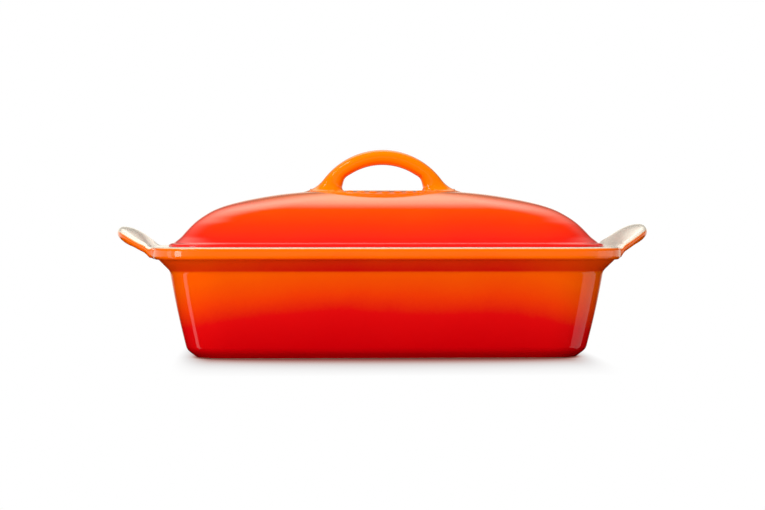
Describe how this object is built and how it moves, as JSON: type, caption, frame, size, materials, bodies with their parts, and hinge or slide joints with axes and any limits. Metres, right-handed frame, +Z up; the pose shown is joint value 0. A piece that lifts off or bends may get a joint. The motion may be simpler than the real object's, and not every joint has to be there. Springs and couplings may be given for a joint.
{
  "type": "covered casserole dish",
  "caption": "Rectangular glazed stoneware casserole: deep dish with flared ear handles and a domed lid with a loop handle.",
  "frame": {"origin": "middle of the foot, on the surface it stands on", "axes": "+X along the long side towards an ear, +Y across, +Z up"},
  "size_m": [0.39, 0.246, 0.1487],
  "materials": {
    "flame_glaze": "glossy sprayed glaze, orange at the rim and loop fading to red, cream inside"
  },
  "bodies": {
    "dish": {"dish": "flame_glaze"},
    "lid": {"lid": "flame_glaze"}
  },
  "joints": [
    {"name": "lid_lift", "type": "slide", "parent": "dish", "child": "lid", "axis": [0, 0, 1], "range_m": [0, 0.15]}
  ]
}
